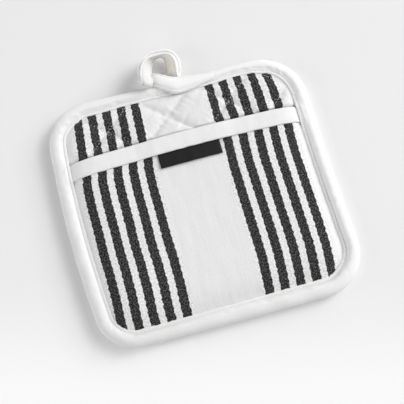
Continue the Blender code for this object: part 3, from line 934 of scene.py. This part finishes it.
class Finish:
    """One material, with the nodes that give it its cloth."""

    def __init__(self, name, roughness, sheen=0.0, specular=0.25):
        self.material = bpy.data.materials.new(name)
        self.material.use_nodes = True
        self.tree = self.material.node_tree
        self.shader = self.tree.nodes["Principled BSDF"]
        self.shader.inputs["Roughness"].default_value = roughness
        self.shader.inputs["Sheen Weight"].default_value = sheen
        self.shader.inputs["Sheen Roughness"].default_value = 0.5
        self.shader.inputs["Specular IOR Level"].default_value = specular

    def add(self, kind, settings=None, **sockets):
        """A node of a kind, its settings first and then the values or links of its sockets."""
        node = self.tree.nodes.new(kind)
        for key, value in (settings or {}).items():
            setattr(node, key, value)
        for key, value in sockets.items():
            place = next(s for s in node.inputs if key in (s.identifier, s.name.replace(" ", "_")))
            if isinstance(value, Wire):
                self.tree.links.new(value.socket, place)
            else:
                place.default_value = value
        return node

    def cloth_place(self):
        """The place on the cloth, and how far across and along it that is, in millimetres."""
        place = Wire(self.add("ShaderNodeUVMap", {"uv_map": "cloth"}).outputs["UV"])
        return (place, *self.parts_of(place)[:2])

    def object_place(self):
        """Place on the object, in millimetres."""
        place = Wire(self.add("ShaderNodeTexCoord").outputs["Object"])
        return self.stretched(place, (1.0 / MM, 1.0 / MM, 1.0 / MM))

    def parts_of(self, place):
        parts = self.add("ShaderNodeSeparateXYZ", Vector=place)
        return [Wire(parts.outputs[axis]) for axis in "XYZ"]

    def stretched(self, place, scale):
        mapping = self.add("ShaderNodeMapping", Vector=place, Scale=scale)
        return Wire(mapping.outputs["Vector"])

    def noise(self, place, size, detail=2.0, roughness=0.5):
        """Unevenness about size across, 0 to 1."""
        node = self.add(
            "ShaderNodeTexNoise", Vector=place, Scale=1.0 / size, Detail=detail, Roughness=roughness
        )
        return Wire(node.outputs["Fac"])

    def blend(self, share, first, second):
        node = self.add(
            "ShaderNodeMix", {"data_type": "RGBA"},
            Factor_Float=share, A_Color=first, B_Color=second,
        )
        return Wire(node.outputs[2])  # the colour, after a number and a vector

    def colour(self, wire):
        self.tree.links.new(wire.socket, self.shader.inputs["Base Color"])

    def rough(self, wire):
        self.tree.links.new(wire.socket, self.shader.inputs["Roughness"])

    def bump(self, height, depth_mm, strength=1.0):
        node = self.add("ShaderNodeBump", Height=height, Distance=depth_mm * MM, Strength=strength)
        self.tree.links.new(node.outputs["Normal"], self.shader.inputs["Normal"])


def shade(value, warmth=0.0):
    """A near-white or grey of a given lightness."""
    return (value, value * (1.0 - 0.25 * warmth), value * (1.0 - warmth), 1.0)


def twill(across, along, rib):
    """Height of slanting ribs, 0 to 1, broken into threads."""
    slant = ((across + along * 0.9) * (math.tau / rib)).sin() * 0.5 + 0.5
    steps = (along * (math.tau / (rib * 0.8))).sin() * 0.5 + 0.5
    return slant * 0.7 + steps * 0.3


def striped_cloth(name, quilted):
    """White twill with two groups of black stripes, with lint along any quilting."""
    finish = Finish(name, 0.88, sheen=0.06)
    place, across, along = finish.cloth_place()
    grain = finish.noise(place, 1.2, 3.0, 0.65)
    wander = finish.noise(finish.stretched(place, (0.25, 1.0, 1.0)), 1.7, 2.0, 0.7)
    right = across > 0.0
    from_middle = across - (right * (GROUP_RIGHT - GROUP_LEFT) + GROUP_LEFT)
    in_group = abs(from_middle) < STRIPE_PITCH * 2.5
    off_stripe = abs((from_middle + STRIPE_PITCH / 2) % STRIPE_PITCH - STRIPE_PITCH / 2)
    tooth = ((along + across * 0.35) * (math.tau / 5.7)).sin()
    reach = STRIPE_HALF + tooth * 0.22 + (wander - 0.5) * 1.7
    stripe = (((reach - off_stripe) * 5.0) + 0.5).clamped() * in_group
    ribs = twill(across, along, 1.15)
    long_streaks = finish.noise(finish.stretched(place, (1.0, 0.03, 1.0)), 1.6, 3.0, 0.6)
    cloudy = finish.noise(place, 24.0, 2.0)
    uneven = (grain - 0.5) * (in_group * 3.2 + 0.6)
    pale = uneven + (long_streaks - 0.5) * 0.35 + (cloudy - 0.5) * 0.12 + 0.53
    white = finish.blend(pale.clamped(), shade(0.62), shade(0.95))
    lint = 0.10
    if quilted:
        x, y, _ = finish.parts_of(finish.object_place())
        x, y = x - QUILT_CENTRE[0], y - QUILT_CENTRE[1]
        for slope in (QUILT_SLOPE, -QUILT_SLOPE):
            shift = (x - y * (1.0 / slope) + QUILT_WIDTH / 2) % QUILT_WIDTH - QUILT_WIDTH / 2
            off_line = abs(shift) * (QUILT_SLOPE / math.hypot(1.0, QUILT_SLOPE))
            lint = (off_line * -0.30 + 1.0).clamped() * 0.85 + lint
    flecks = ((finish.noise(place, 1.5, 2.0, 0.7) - 0.56) * 14.0).clamped() * lint
    dark = finish.blend(((grain - 0.5) * 9.0 + 0.22).clamped(), shade(0.003), shade(0.088))
    dark = finish.blend(flecks.clamped(), dark, shade(0.30))
    finish.colour(finish.blend(stripe, white, dark))
    finish.bump(ribs + grain * 0.8, 0.12, 0.8)
    return finish


def plain_cloth(name, value):
    finish = Finish(name, 0.88, sheen=0.08)
    place, across, along = finish.cloth_place()
    threads = (across * (math.tau / 0.9)).sin() * (along * (math.tau / 0.9)).sin() * 0.5 + 0.5
    grain = finish.noise(place, 0.9, 3.0, 0.6)
    cloudy = finish.noise(place, 18.0, 2.0)
    pale = ((grain - 0.5) * 0.25 + (cloudy - 0.5) * 0.15 + 0.5).clamped()
    finish.colour(finish.blend(pale, shade(value - 0.05), shade(value + 0.03)))
    finish.bump(threads * 0.6 + grain, 0.10, 0.8)
    return finish


def binding_cloth():
    finish = Finish("binding_cotton", 0.85, sheen=0.10)
    place, along, around = finish.cloth_place()
    per_mm = math.tau / 1.1
    ribs = ((along + around) * per_mm).sin() * ((along - around) * per_mm).sin() * 0.5 + 0.5
    grain = finish.noise(place, 1.0, 3.0, 0.6)
    cloudy = finish.noise(place, 22.0, 2.0)
    x, y, _ = finish.parts_of(finish.object_place())
    # painted light: the binding's colour gets paler towards the upper right, where the window
    # lights fall
    painted_window_light = (x + y) * PAINTED_LIGHT_TO_WINDOW
    pale = (painted_window_light + (grain - 0.5) * 0.22 + (cloudy - 0.5) * 0.16 + 0.5).clamped()
    finish.colour(finish.blend(pale, shade(0.77), shade(0.93)))
    finish.bump(ribs * 0.5 + grain, 0.12, 0.8)
    return finish


def loop_cloth():
    finish = Finish("loop_tape_cotton", 0.85, sheen=0.10)
    place, across, along = finish.cloth_place()
    chevron = ((abs(across) * 0.9 + along) * (math.tau / 1.3)).sin() * 0.5 + 0.5
    grain = finish.noise(place, 0.9, 3.0, 0.6)
    pale = ((grain - 0.5) * 0.3 + chevron * 0.25 + 0.35).clamped()
    face = (across < BACK_OF_TAPE * 0.6) * (along > RING_START / 2)
    white = finish.blend(pale, shade(0.84), shade(0.92))
    # painted shade: the ring's inner face is painted darker where the window light falls on it
    painted_shade_on_lit_side = finish.blend(pale, shade(0.70, 0.03), shade(0.77, 0.02))
    # painted light: a paler warm beige where the ring's inner face lies in shade, standing in for
    # light bounced off and shining through the tape
    painted_bounce_light = finish.blend(pale, shade(0.90, 0.13), shade(0.96, 0.09))
    inside = finish.blend(((along - (RING_START + 25.0)) / 16.0).clamped(), painted_shade_on_lit_side, painted_bounce_light)
    # painted shade: a darker warm tone on the strand's back half near its fold, where it dips into
    # shade
    painted_fold_shade = (along < RING_START / 2) * ((along - 56.0) / 12.0).clamped()
    painted_fold_shade = painted_fold_shade * (across * 0.3 + 0.2).clamped()
    white = finish.blend(painted_fold_shade, white, shade(0.72, 0.14))
    finish.colour(finish.blend(face * (abs(across) < 5.6), white, inside))
    finish.bump(chevron * 0.6 + grain, 0.12, 0.8)
    return finish


def label_cloth():
    finish = Finish("black_satin_ribbon", 0.55, sheen=0.05)
    place, across, down = finish.cloth_place()
    ribs = (down * (math.tau / 0.55)).sin() * 0.5 + 0.5
    grain = finish.noise(finish.stretched(place, (1.0, 4.0, 1.0)), 1.2, 3.0, 0.6)
    finish.colour(finish.blend((ribs * 0.4 + grain * 0.6).clamped(), shade(0.004), shade(0.014)))
    finish.rough((grain * 0.3 + 0.4).clamped())
    finish.bump(ribs + grain * 0.5, 0.08, 0.8)
    return finish


def sewing_thread(name, value, warmth):
    finish = Finish(name, 0.6, sheen=0.05)
    place = finish.object_place()
    x, y, z = finish.parts_of(place)
    twist = ((x + y + z * 2.0) * (math.tau / 0.35)).sin() * 0.5 + 0.5
    fibre = finish.noise(place, 0.5, 2.0)
    tone = (twist * 0.4 + fibre * 0.6).clamped()
    finish.colour(finish.blend(tone, shade(value - 0.10, warmth), shade(value, warmth * 0.7)))
    finish.bump(twist, 0.05, 0.7)
    return finish


def table_top():
    finish = Finish("pale_table", 0.75, specular=0.2)
    place = finish.object_place()
    cloudy = finish.noise(place, 60.0, 3.0)
    grain = finish.noise(place, 1.5, 2.0)
    tone = (cloudy * 0.6 + grain * 0.4).clamped()
    x, y, _ = finish.parts_of(place)
    # painted light: a painted pool of light that makes the table paler towards the camera
    towards = x * -AWAY[0] - y * AWAY[1]
    near = ((towards - PAINTED_LIGHT_FROM) * (1.0 / PAINTED_LIGHT_OVER)).clamped()
    near = near * near * (near * -2.0 + 3.0)
    far_side = finish.blend(tone, shade(0.815), shade(0.835))
    finish.colour(finish.blend(near, far_side, shade(0.932)))
    finish.bump(grain, 0.02, 0.4)
    return finish


# ---------------------------------------------------------------- putting it together


def dress():
    pad, pocket, band = make_pad(), make_pocket(), make_band()
    binding, loop, label = make_binding(), make_loop(), make_label()
    pad.data.materials.append(striped_cloth("quilted_striped_twill", True).material)
    pad.data.materials.append(plain_cloth("plain_back_cloth", 0.80).material)
    pocket.data.materials.append(striped_cloth("striped_twill", False).material)
    band.data.materials.append(plain_cloth("plain_band_cloth", 0.84).material)
    binding.data.materials.append(binding_cloth().material)
    loop.data.materials.append(loop_cloth().material)
    label.data.materials.append(label_cloth().material)
    slots = {
        pad: ("quilted_pad", "quilted_cloth"),
        pocket: ("pocket_panel", "pocket_cloth"),
        band: ("pocket_band", "band_cloth"),
        binding: ("edge_binding", "binding_tape"),
        loop: ("hanging_loop", "loop_tape"),
        label: ("woven_label", "label_ribbon"),
    }
    for piece, (node, slot) in slots.items():
        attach(piece, "root")
        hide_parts(node)
    white = sewing_thread("white_sewing_thread", 0.86, 0.02).material
    ivory = sewing_thread("ivory_sewing_thread", 0.78, 0.16).material
    threads = {}
    for thread, onto in sew_all(pad, band, binding, loop):
        thread.data.materials.append(ivory if onto in (binding, loop) else white)
        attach(thread, "root")
        threads.setdefault(onto.name, []).append(thread)
    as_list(threads[band.name])
    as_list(threads[binding.name])
    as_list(threads[loop.name])


def light_place(azimuth, elevation, distance):
    around, rise = math.radians(azimuth), math.radians(elevation)
    level = math.cos(rise)
    return distance * Vector((level * math.cos(around), level * math.sin(around), math.sin(rise)))


def stage():
    bpy.ops.object.select_all(action="DESELECT")
    bpy.ops.mesh.primitive_plane_add(size=6.0, location=(0.0, 0.0, 0.0))
    table = bpy.context.object
    table.name = "table_top"
    table.data.materials.append(table_top().material)

    camera = bpy.data.cameras.new("studio_camera")
    camera.sensor_width = SENSOR
    camera.lens = SENSOR * FOCAL_LENGTH / PICTURE_WIDTH
    holder = bpy.data.objects.new("studio_camera", camera)
    holder.location = CAMERA_PLACE
    holder.rotation_euler = [math.radians(angle) for angle in CAMERA_TURN]
    bpy.context.scene.collection.objects.link(holder)
    bpy.context.scene.camera = holder

    world = bpy.data.worlds.new("studio_room")
    world.use_nodes = True
    background = world.node_tree.nodes["Background"].inputs
    background["Color"].default_value = (1.0, 1.0, 1.0, 1.0)
    background["Strength"].default_value = ROOM_LIGHT
    bpy.context.scene.world = world

    for name, azimuth, elevation, distance, size, power in LIGHTS:
        light = bpy.data.lights.new(name, "AREA")
        light.shape = "SQUARE"
        light.size = size
        light.energy = power
        lamp = bpy.data.objects.new(name, light)
        lamp.location = light_place(azimuth, elevation, distance)
        lamp.rotation_euler = (-lamp.location).to_track_quat("-Z", "Y").to_euler()
        bpy.context.scene.collection.objects.link(lamp)
    bpy.context.scene.view_settings.view_transform = "Standard"
    bpy.context.scene.view_settings.look = "None"


dress()
stage()
